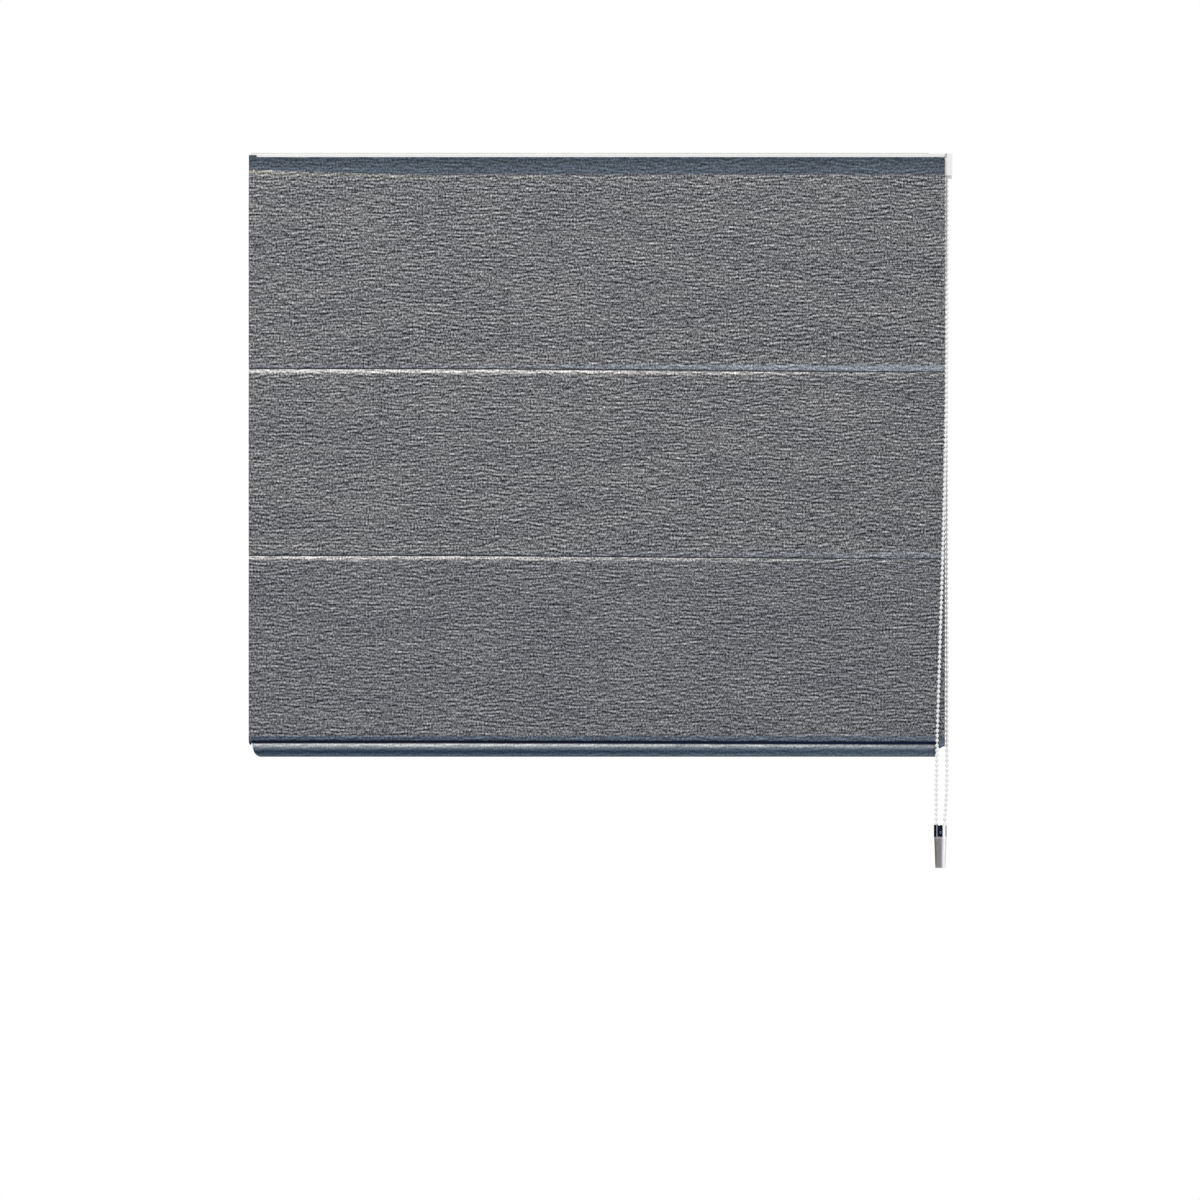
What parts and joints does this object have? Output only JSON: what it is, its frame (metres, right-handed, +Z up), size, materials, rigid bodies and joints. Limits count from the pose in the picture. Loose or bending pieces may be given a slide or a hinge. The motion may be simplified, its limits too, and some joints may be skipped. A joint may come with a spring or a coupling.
{
  "type": "roman blind",
  "caption": "Flat-fold roman blind in dark grey woven cloth on a white headrail, with battens behind, a weighted bottom bar and a bead chain with a chrome weight.",
  "frame": {"origin": "middle of the brackets' wall screws, in the plane of the wall", "axes": "+X along the rail towards the chain, +Y into the wall, +Z up; the room is at -Y"},
  "size_m": [0.8594, 0.0554, 0.8738],
  "materials": {
    "white_metal": "semi-gloss white powder coat",
    "white_plastic": "white moulded plastic, fine satin grain",
    "inner_plastic": "natural acetal",
    "steel": "zinc plated",
    "tape": "woven polyester tape",
    "cloth": "heathered dark grey weave with pale slubs",
    "fibreglass": "pultruded fibreglass strip",
    "bar_aluminium": "mill extrusion",
    "lift_cord": "braided polyester cord",
    "clear_plastic": "clear moulded plastic",
    "beads": "white plastic beads moulded on a cord",
    "weight_chrome": "polished chrome",
    "weight_satin": "satin nickel"
  },
  "bodies": {
    "rail": {"bead_chain": "beads", "clutch_spindle": "inner_plastic", "control_cover": "white_plastic", "control_housing": "white_plastic", "end_cap_left": "white_plastic", "face_fabric": "cloth", "headrail": "white_metal", "hook_tape": "tape", "lift_cord_left": "lift_cord", "lift_cord_middle": "lift_cord", "lift_cord_right": "lift_cord", "loop_tape": "tape", "mounting_bracket_left": "white_metal", "mounting_bracket_right": "white_metal", "spool_cradle_left": "inner_plastic", "spool_cradle_middle": "inner_plastic", "spool_cradle_right": "inner_plastic", "weight_body": "weight_satin", "weight_cap": "weight_chrome", "weight_pin": "steel"},
    "drive": {"drive_shaft": "steel", "shaft_bush": "inner_plastic", "chain_wheel": "inner_plastic", "wrap_spring": "steel", "output_hub": "inner_plastic", "cord_spool_left": "inner_plastic", "cord_spool_middle": "inner_plastic", "cord_spool_right": "inner_plastic", "cord_turns_left": "lift_cord", "cord_turns_middle": "lift_cord", "cord_turns_right": "lift_cord"},
    "upper_batten": {"batten_upper": "fibreglass", "batten_pocket_upper": "tape", "cord_ring_upper_left": "clear_plastic", "cord_ring_upper_middle": "clear_plastic", "cord_ring_upper_right": "clear_plastic"},
    "lower_batten": {"batten_lower": "fibreglass", "batten_pocket_lower": "tape", "cord_ring_lower_left": "clear_plastic", "cord_ring_lower_middle": "clear_plastic", "cord_ring_lower_right": "clear_plastic"},
    "bottom_bar": {"bottom_bar": "bar_aluminium", "bottom_bar_cap_left": "inner_plastic", "bottom_bar_cap_right": "inner_plastic", "bar_sleeve": "cloth", "cord_anchor_left": "clear_plastic", "cord_anchor_middle": "clear_plastic", "cord_anchor_right": "clear_plastic", "cord_orb_left": "clear_plastic", "cord_orb_middle": "clear_plastic", "cord_orb_right": "clear_plastic"},
    "weight_pulley": {"weight_pulley": "inner_plastic"}
  },
  "joints": [
    {"name": "lift", "type": "slide", "parent": "rail", "child": "bottom_bar", "axis": [0, 0, 1], "range_m": [0, 0.58], "deforming": ["face_fabric", "lift_cord_left", "lift_cord_middle", "lift_cord_right", "bead_chain"]},
    {"name": "upper_batten_lift", "type": "slide", "parent": "rail", "child": "upper_batten", "axis": [0, 0, 1], "range_m": [0, 0.1979]},
    {"name": "lower_batten_lift", "type": "slide", "parent": "rail", "child": "lower_batten", "axis": [0, 0, 1], "range_m": [0, 0.389]},
    {"name": "drive_turn", "type": "hinge", "parent": "rail", "child": "drive", "pos_m": [0, -0.024, -0.0025], "axis": [1, 0, 0], "range_deg": [-4289, 0]},
    {"name": "pulley_turn", "type": "hinge", "parent": "rail", "child": "weight_pulley", "pos_m": [0.4196, -0.046, -0.816], "axis": [0, 1, 0], "range_deg": [0, 8158]}
  ],
  "couplings": [
    {"joint": "upper_batten_lift", "follows": "lift", "ratio": 0.34104},
    {"joint": "lower_batten_lift", "follows": "lift", "ratio": 0.67052},
    {"joint": "drive_turn", "follows": "lift", "rad_per_m": -129.03},
    {"joint": "pulley_turn", "follows": "lift", "rad_per_m": 245.43}
  ]
}
